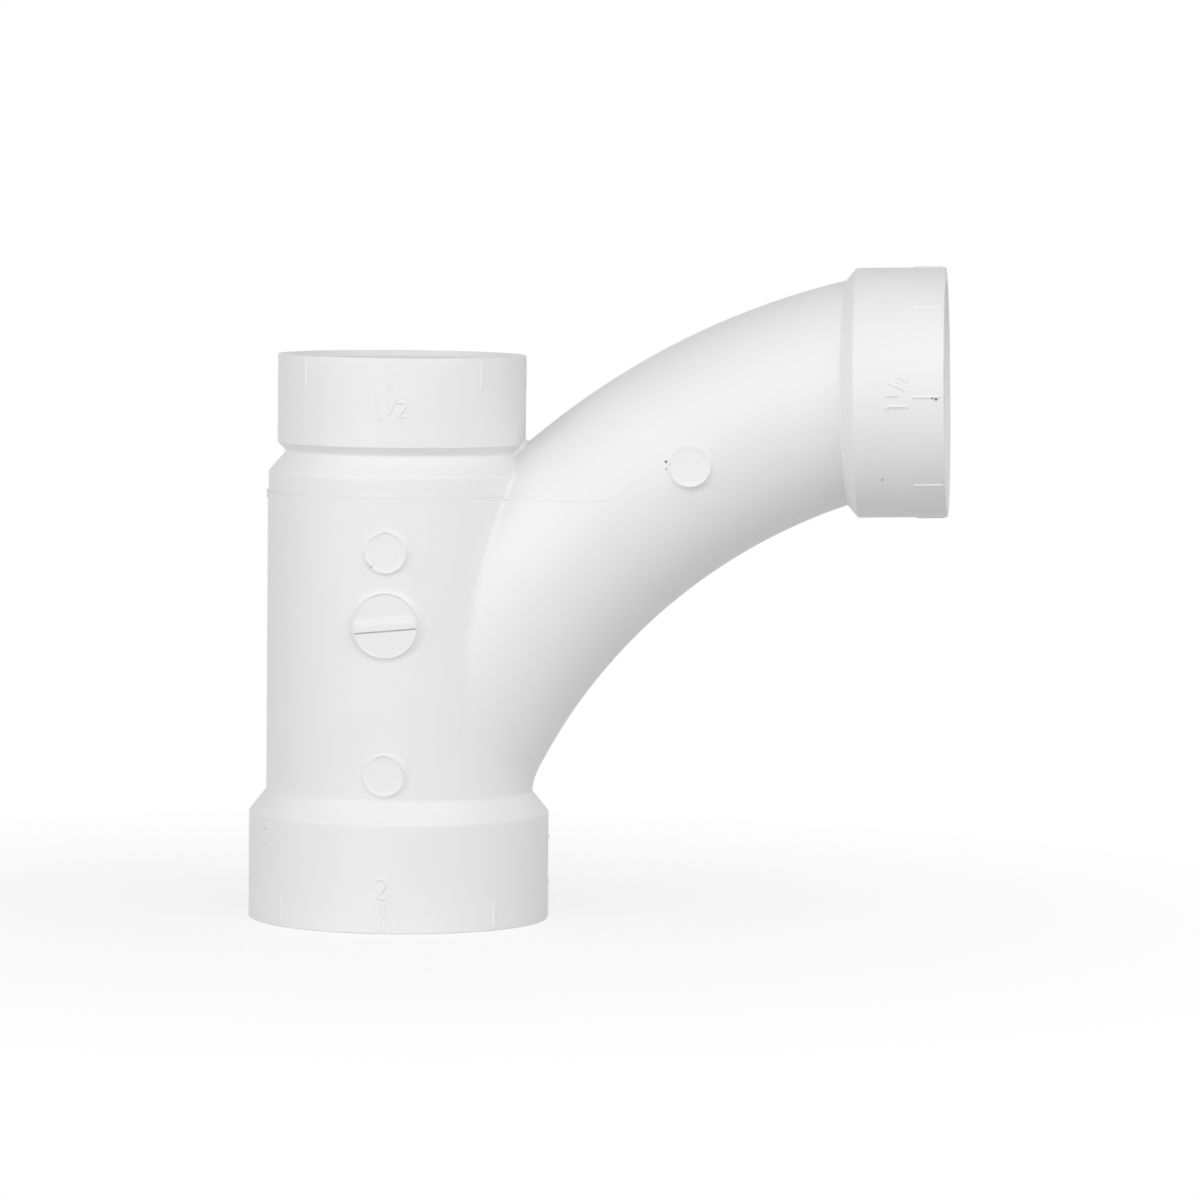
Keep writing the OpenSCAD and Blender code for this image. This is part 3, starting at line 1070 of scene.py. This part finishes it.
    def ribs(self) -> Patchwork:
        """Work out the alignment ribs round the three hubs.

        A ring of ribs has a hub, the ribs' start and end along its axis, their
        width and height, and the turn of the first.
        """
        top, reach = self.sizes.run_h, self.sizes.branch_reach
        work = Patchwork()
        for hub, start, end, width, height, first in (
            (self.lower, 0.6, 7.2, 0.95, 0.22, self.rib_turn),
            (self.upper, top - 7.4, top - 0.3, 1.1, 0.16, self.rib_turn),
            (self.side, reach - 7.2, reach - 0.6, 0.75, 0.26, 0.0),
        ):
            path = stacked(0.0, np.linspace(start, end, self.rib_steps + 1))
            for turn in math.radians(first) + np.arange(self.rib_count) * FULL_TURN / self.rib_count:
                work.add(bead(path, width, height, self.rib_root, hub.wrap(0.0, turn)))
        return work

    def figures(self) -> Patchwork:
        """Work out the size figures: 2 below, 1 1/2 on top and 1 1/2 on the branch.

        Each figure is a glyph with its place across and up, its size and its
        height. The middles of the three groups stand on the hubs' fronts.
        """
        front, side_turn = -math.pi / 2, math.pi / 2 - math.radians(2)
        lower_z, upper_z, side_s = 10.1, 117.3, 113.3

        def on_branch(across: Array, up: Array, level: Array) -> Array:
            """Wrap figures on the front of the branch hub, to be read going up."""
            return self.side.place(side_s - up, side_turn - across / self.side.radius, level)

        lower = ((Glyph.TWO, -1.35, -2.1, 4.4, 0.3),)
        upper = (
            (Glyph.ONE, -2.1, -2.7, 5.2, 0.16),
            (Glyph.ONE, 0.1, 0.7, 2.0, 0.16),
            (Glyph.SLASH, 0.1, -1.9, 4.2, 0.22),
            (Glyph.TWO, 2.1, -2.0, 3.3, 0.26),
        )
        side = (
            (Glyph.ONE, -3.0, -2.2, 4.8, 0.34),
            (Glyph.ONE, -0.6, 0.0, 2.6, 0.34),
            (Glyph.SLASH, 0.3, -2.2, 4.0, 0.18),
            (Glyph.TWO, 2.1, -2.4, 2.6, 0.16),
        )
        places = (
            (self.lower.wrap(lower_z, front), lower),
            (self.upper.wrap(upper_z, front), upper),
            (on_branch, side),
        )
        work = Patchwork()
        for place, figures in places:
            for glyph, across, up, size, height in figures:
                for stroke in glyph.value:
                    path = smoothed(np.array(stroke)) if len(stroke) > 2 else np.array(stroke)
                    path = resampled(path * size + [across, up], self.stroke_step)
                    work.add(bead(path, self.stroke, height, self.root, place))
        return work

    def insert_line(self) -> Patchwork:
        """Work out the fine line that the mould's insert leaves on the branch's front."""
        knots = np.array([
            (24.4, 96.5), (30.0, 96.8), (38.4, 96.8), (43.0, 96.75), (48.0, 96.8), (51.2, 97.9),
            (53.6, 99.8), (55.4, 101.6),
        ])

        def on_front(x: Array, z: Array, level: Array) -> Array:
            """Lay a level on the front of the joint."""
            return stacked(x, -self._joint_front(x, z) - level, z)

        work = Patchwork()
        path = resampled(smoothed(knots), step=0.35)
        work.add(bead(path, width=0.32, height=0.1, root=self.root, place=on_front))
        return work

    def nubs(self) -> Patchwork:
        """Work out the small nubs where flash was broken off at the parting plane.

        Each is a short bead that sways a little, with a hub, an angle round it in
        degrees, a height and a length.
        """
        sway, waves, steps = 0.12, 3, 24
        work = Patchwork()
        for hub, angle, height, length in (
            (self.lower, 6.5, 8.1, 1.3),
            (self.lower, 6.5, 18.4, 0.9),
            (self.body, 186.5, 96.4, 2.2),
        ):
            line = np.linspace(-length / 2, length / 2, steps + 1)
            path, place = stacked(sway * np.sin(waves * line), line), hub.wrap(height, math.radians(angle))
            work.add(bead(path, width=0.7, height=0.3, root=self.root, place=place))
        return work


# Finishes


def math_node(operation: str, turned: bool = False) -> Callable[["Value", "Value | float"], "Value"]:
    """Make an operator of values that adds a Math node.

    Args:
        operation: Operation of the node.
        turned: Whether the value on the right of the operator goes in first.

    Returns:
        The operator.
    """

    def apply(one: "Value", other: "Value | float") -> "Value":
        """Add the node."""
        pair = (other, one) if turned else (one, other)
        return one.bench.value("Math", {"operation": operation}, dict(enumerate(pair)))

    return apply


class Value:
    """Number in a node tree, on which Python's operators add Math nodes.

    The signs | and & give the greater and the smaller of two numbers, and < gives
    one where it holds and nothing elsewhere.
    """

    def __init__(self, bench: "NodeBench", socket: bpy.types.NodeSocket) -> None:
        """Wrap an output socket."""
        self.bench, self.socket = bench, socket

    __add__ = __radd__ = math_node("ADD")
    __mul__ = __rmul__ = math_node("MULTIPLY")
    __sub__ = math_node("SUBTRACT")
    __rsub__ = math_node("SUBTRACT", turned=True)
    __lt__ = math_node("LESS_THAN")
    __or__ = math_node("MAXIMUM")
    __and__ = math_node("MINIMUM")

    def __abs__(self) -> "Value":
        """Drop the sign."""
        return math_node("ABSOLUTE")(self, 0.0)


class NodeBench:
    """Node tree of a material or a world, with one way to add any node."""

    def __init__(self, owner: bpy.types.Material | bpy.types.World) -> None:
        """Clear the owner's tree."""
        owner.use_nodes = True
        self.tree = owner.node_tree
        self.tree.nodes.clear()

    def node(self, kind: str, settings: dict | None = None, inputs: dict | None = None) -> bpy.types.Node:
        """Add a node.

        Args:
            kind: Type of the node, without what all shader nodes' names start with.
            settings: Its settings, made before its sockets are fed.
            inputs: Values, links or wrapped values of its sockets, by name or place.

        Returns:
            The node.
        """
        made = self.tree.nodes.new("ShaderNode" + kind)
        for key, value in (settings or {}).items():
            setattr(made, key, value)
        for key, value in (inputs or {}).items():
            value = value.socket if isinstance(value, Value) else value
            if isinstance(value, bpy.types.NodeSocket):
                self.tree.links.new(value, made.inputs[key])
            else:
                made.inputs[key].default_value = value
        return made

    def value(self, kind: str, settings: dict, inputs: dict, output: str | int = 0) -> Value:
        """Add a node and wrap one of its outputs."""
        return Value(self, self.node(kind, settings, inputs).outputs[output])

    def length(self, vector: bpy.types.NodeSocket) -> Value:
        """Give the length of a vector."""
        return self.value("VectorMath", {"operation": "LENGTH"}, {0: vector}, "Value")

    def distance(self, across: Value, up: Value) -> Value:
        """Give the length of the vector with these two parts."""
        return self.length(self.node("CombineXYZ", {}, {0: across, 1: up}).outputs[0])


@dataclass(frozen=True)
class Spot:
    """Spot of dirt on the front of the fitting.

    Attributes:
        x: X of the spot, in millimetres.
        z: Z of the spot, in millimetres.
        radius: Radius, in millimetres.
        depth: Share by which it darkens the surface.
    """

    x: float
    z: float
    radius: float
    depth: float


@dataclass(frozen=True)
class MouldedPlastic:
    """Satin white plastic as it comes out of a polished mould.

    Attributes:
        colour: Colour of the plastic, linear.
        flow_shade: Share by which the flow of the melt changes the brightness.
        line_painted_shade: Share by which painted shade darkens the surface along the insert's line, where
            the step's shade falls.
        line_drop: Distance of that line's middle below the step, in metres.
        line_half: Half of that line's width, in metres.
        roughness: Mean roughness.
        roughness_spread: Change of the roughness over the surface.
        flow_size: Size of the flow's cells, in metres.
        grain_size: Size of the grain, in metres.
        grain_height: Height of the grain, in metres.
        flow_height: Height of the flow's waves, in metres.
        speck_cell: Size of the cells that may hold a speck, in metres.
        speck_r: Radius of a speck, in metres.
        speck_share: Share of the cells that hold a speck.
        speck_depth: Share by which a speck darkens the surface.
        dirt: Spots of dirt on the front.
    """

    colour: tuple[float, float, float, float] = (0.82, 0.82, 0.818, 1)
    flow_shade: float = 0.02
    line_painted_shade: float = 0.1
    line_drop: float = 0.0001
    line_half: float = 0.00014
    roughness: float = 0.45
    roughness_spread: float = 0.1
    flow_size: float = 0.022
    grain_size: float = 0.0006
    grain_height: float = 0.000004
    flow_height: float = 0.00006
    speck_cell: float = 0.012
    speck_r: float = 0.00022
    speck_share: float = 0.08
    speck_depth: float = 0.75
    dirt: tuple[Spot, ...] = (
        Spot(-3.05, 81.8, 0.35, 0.3),
        Spot(-3.9, 82.5, 0.2, 0.2),
        Spot(-0.25, 89.6, 0.25, 0.25),
        Spot(4.5, 36.0, 0.22, 0.25),
        Spot(62.0, 105.9, 0.42, 0.85),
        Spot(62.05, 104.3, 0.3, 0.5),
        Spot(25.3, 96.4, 0.3, 0.3),
        Spot(110.1, 102.4, 0.45, 0.35),
        Spot(109.0, 99.7, 0.6, 0.03),
        Spot(106.5, 105.6, 0.5, 0.03),
        Spot(121.1, 120.95, 0.36, 0.6),
        Spot(121.9, 120.75, 0.45, 0.8),
        Spot(-28.0, 21.5, 0.35, 0.25),
        Spot(-28.3, 18.0, 0.3, 0.2),
    )

    def material(self, line_z: float, line_r: float) -> bpy.types.Material:
        """Make the material.

        Args:
            line_z: Height of the insert's step round the run, in metres.
            line_r: Distance from the run's axis beyond which there is no line, in metres.

        Returns:
            The material.
        """
        material = bpy.data.materials.new("white_plastic")
        bench = NodeBench(material)
        place = bench.node("TexCoord").outputs["Object"]
        parts = bench.node("SeparateXYZ", {}, {0: place}).outputs
        x, y, z = (Value(bench, parts[axis]) for axis in "XYZ")
        flow = self._noise(bench, place, 1 / self.flow_size, 3.0)
        grain = self._noise(bench, place, 1 / self.grain_size, 1.0)
        patches = self._noise(bench, place, 0.4 / self.flow_size, 2.0)
        # Painted shade: a thin dark band just below the insert's step round the run, standing in for the
        # shade of that step, kept off the branch by line_r
        line = abs(z - (line_z - self.line_drop)) < self.line_half
        line = line * (bench.distance(x, y) < line_r)
        dirt = self._specks(bench, place) * self.speck_depth
        for spot in self.dirt:
            away = bench.distance(x - spot.x * MM, z - spot.z * MM)
            edge = ((spot.radius * MM - away) * (2 / (spot.radius * MM)) | 0.0) & 1.0
            dirt = dirt | edge * (y < 0.0) * spot.depth
        # Brightness of the base colour: random flow tone, dirt, and the painted shade of the insert's line
        shade = 1 - self.flow_shade * (flow - 0.5) * 2
        shade = shade * (1 - dirt) * (1 - line * self.line_painted_shade)
        tint = bench.node(
            "Mix",
            {"data_type": "RGBA", "clamp_factor": False},
            {"Factor": shade, "A": (0, 0, 0, 1), "B": self.colour},
        )
        waves = bench.node("Bump", {}, {"Strength": 1.0, "Distance": self.flow_height, "Height": flow})
        fine = {"Strength": 1.0, "Distance": self.grain_height, "Height": grain}
        bump = bench.node("Bump", {}, {**fine, "Normal": waves.outputs[0]})
        shader = bench.node(
            "BsdfPrincipled",
            {},
            {
                "Base Color": tint.outputs["Result"],
                "Roughness": self.roughness + self.roughness_spread * (patches - 0.5),
                "Normal": bump.outputs[0],
                "IOR": 1.5,
            },
        )
        bench.node("OutputMaterial", {}, {"Surface": shader.outputs[0]})
        return material

    @staticmethod
    def _noise(bench: NodeBench, place: bpy.types.NodeSocket, scale: float, detail: float) -> Value:
        """Add soft noise of a scale, from about 0.3 to 0.7."""
        return bench.value("TexNoise", {}, {"Vector": place, "Scale": scale, "Detail": detail})

    def _specks(self, bench: NodeBench, place: bpy.types.NodeSocket) -> Value:
        """Mark a few small round specks: near the middle of a cell, in few of the cells."""
        cells = bench.node("TexVoronoi", {"feature": "F1"}, {"Vector": place, "Scale": 1 / self.speck_cell})
        chosen = bench.value("SeparateColor", {}, {0: cells.outputs["Color"]})
        near = Value(bench, cells.outputs["Distance"]) < self.speck_r / self.speck_cell
        return near * (chosen < self.speck_share)


# Studio


def place_in_scene(thing: bpy.types.Object, right: Array, up: Array, back: Array, place: Array) -> None:
    """Put an object into the scene with these directions, at a place."""
    rows = np.eye(4)
    rows[:3] = np.stack([right, up, back, place], axis=-1)
    thing.matrix_world = Matrix(rows.tolist())
    bpy.context.scene.collection.objects.link(thing)


@dataclass(frozen=True)
class Lamp:
    """A square soft light that faces the fitting.

    Attributes:
        name: Name of the lamp.
        place: Place of the lamp, in metres.
        power: Power in watts.
        target: Point that it faces, in metres.
        size: Side of its square, in metres.
    """

    name: str
    place: tuple[float, float, float]
    power: float
    target: tuple[float, float, float] = (0.04, 0.0, 0.08)
    size: float = 2.0

    def light(self) -> None:
        """Hang the lamp, level and turned to its target."""
        data = bpy.data.lights.new(self.name, "AREA")
        data.shape, data.size, data.energy = "SQUARE", self.size, self.power
        back = unit(np.array(self.place) - np.array(self.target))
        side = unit(np.cross([0, 0, 1.0], back))
        lamp = bpy.data.objects.new(self.name, data)
        place_in_scene(lamp, side, np.cross(back, side), back, np.array(self.place))


@dataclass(frozen=True)
class Viewpoint:
    """The photograph's camera.

    Attributes:
        place: Place of the camera, in metres.
        yaw: Turn to the left of +Y, in degrees.
        pitch: Turn downwards, in degrees.
        roll: Roll about the view, in degrees.
        focal: Focal length in picture widths.
        sensor: Width of the sensor, in millimetres.
    """

    place: tuple[float, float, float] = (0.1583, -1.3833, 0.1743)
    yaw: float = 4.659
    pitch: float = 4.173
    roll: float = -0.574
    focal: float = 6126.8 / 1200
    sensor: float = 36.0

    def set_up(self) -> None:
        """Make the camera and give it to the scene."""
        yaw, pitch, roll = (math.radians(angle) for angle in (self.yaw, self.pitch, self.roll))
        level = np.array([-math.sin(yaw), math.cos(yaw), 0])
        right = np.array([math.cos(yaw), math.sin(yaw), 0])
        upright = np.array([0, 0, 1.0])
        view = level * math.cos(pitch) - upright * math.sin(pitch)
        up = upright * math.cos(pitch) + level * math.sin(pitch)
        turned_right = right * math.cos(roll) - up * math.sin(roll)
        turned_up = up * math.cos(roll) + right * math.sin(roll)
        data = bpy.data.cameras.new("photo_view")
        data.sensor_width, data.lens, data.clip_end = self.sensor, self.focal * self.sensor, 50
        camera = bpy.data.objects.new("photo_view", data)
        place_in_scene(camera, turned_right, turned_up, -view, np.array(self.place))
        bpy.context.scene.camera = camera


@dataclass(frozen=True)
class Studio:
    """Plain white studio: a pale floor, soft lamps and a white surround.

    Attributes:
        floor_half: Half of the floor's side, in metres.
        floor_colour: Grey of the floor, linear.
        floor_white: Share of plain white that the floor shows near the fitting.
        white_from: Distance from the origin at which the floor starts to fade to white, in metres.
        white_by: Distance at which it is white, in metres.
        surround: Strength of the surround as a light.
        lamps: The lamps.
    """

    floor_half: float = 30.0
    floor_colour: float = 0.8
    floor_white: float = 0.82
    white_from: float = 0.03
    white_by: float = 0.24
    surround: float = 0.1
    lamps: tuple[Lamp, ...] = (
        Lamp("front_left", (-1.2, -1.4, 0.6), 19.6),
        Lamp("left", (-1.8, -0.2, 0.6), 5.5),
        Lamp("right", (1.9, -0.2, 0.6), 3.4),
        Lamp("high_left", (-1.2, -1.0, 1.4), 3.1),
        Lamp("high_right", (1.2, -1.2, 1.3), 24.5),
        Lamp("front", (0.15, -1.8, 0.45), 6.6),
    )

    @staticmethod
    def _seen(bench: NodeBench) -> Value:
        """Tell the rays that show a background: the camera's, mirrored ones and those through glass."""
        rays = bench.node("LightPath")
        camera, mirrored, through = (
            Value(bench, rays.outputs[f"Is {kind} Ray"]) for kind in ("Camera", "Glossy", "Transmission")
        )
        return camera | mirrored | through

    def _floor(self) -> None:
        """Lay the floor, which keeps the shadow.

        The share of plain white that is seen in it grows evenly with the
        distance from the origin, so that the floor ends in a white background.
        """
        corners = np.array([[-1, -1, 0], [1, -1, 0], [1, 1, 0], [-1, 1, 0]]) * self.floor_half
        mesh = bpy.data.meshes.new("floor")
        mesh.from_pydata(corners, [], [(0, 1, 2, 3)])
        floor = bpy.data.objects.new("floor", mesh)
        bpy.context.scene.collection.objects.link(floor)
        material = bpy.data.materials.new("pale_floor")
        bench = NodeBench(material)
        away = bench.length(bench.node("TexCoord").outputs["Object"]) - self.white_from
        fade = (away * (1 / (self.white_by - self.white_from)) | 0.0) & 1.0
        share = self.floor_white + (1 - self.floor_white) * fade
        matt = bench.node("BsdfDiffuse", {}, {"Color": (self.floor_colour,) * 3 + (1,)})
        white = bench.node("Emission", {}, {"Color": (1, 1, 1, 1), "Strength": 1.0})
        parts = {0: self._seen(bench) * share, 1: matt.outputs[0], 2: white.outputs[0]}
        both = bench.node("MixShader", {}, parts)
        bench.node("OutputMaterial", {}, {"Surface": both.outputs[0]})
        mesh.materials.append(material)

    def _surround(self) -> None:
        """Fill the world: plain white where it is seen, softer as a light."""
        world = bpy.data.worlds.new("studio")
        bpy.context.scene.world = world
        bench = NodeBench(world)
        light, white = (
            bench.node("Background", {}, {"Color": (1, 1, 1, 1), "Strength": strength})
            for strength in (self.surround, 1.0)
        )
        parts = {0: self._seen(bench), 1: light.outputs[0], 2: white.outputs[0]}
        both = bench.node("MixShader", {}, parts)
        bench.node("OutputWorld", {}, {"Surface": both.outputs[0]})

    def set_up(self) -> None:
        """Set up the floor, the surround and the lamps."""
        bpy.context.scene.view_settings.view_transform = "Standard"
        self._floor()
        self._surround()
        for lamp in self.lamps:
            lamp.light()


def dressed(name: str, work: Patchwork, material: bpy.types.Material) -> bpy.types.Object:
    """Make an object of patches, ride it on the fitting and give it its finish.

    Args:
        name: Name of the piece.
        work: Its patches.
        material: Its material.

    Returns:
        The piece.
    """
    mesh = work.mesh(name)
    mesh.materials.append(material)
    piece = bpy.data.objects.new(name, mesh)
    bpy.context.scene.collection.objects.link(piece)
    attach(piece, BODY)
    return piece


def main() -> None:
    """Build the fitting, its marks and the studio."""
    logging.basicConfig(level=logging.INFO, format="%(name)s: %(message)s")
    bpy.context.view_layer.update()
    sizes = FittingSizes()
    plastic = MouldedPlastic().material(line_z=sizes.step_z * MM, line_r=(sizes.body_r + 0.3) * MM)
    shell = dressed("fitting_shell", FittingBody(sizes).patches(), plastic)
    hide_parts("fitting_body")
    marks = MouldMarks(sizes)
    for name, work in (
        ("pin_marks", marks.pin_marks()),
        ("medallion", marks.medallion()),
        ("alignment_ribs", marks.ribs()),
        ("size_figures", marks.figures()),
        ("insert_line", marks.insert_line()),
        ("flash_nubs", marks.nubs()),
    ):
        dressed(name, work, plastic)
    Viewpoint().set_up()
    Studio().set_up()


if __name__ == "__main__":
    main()
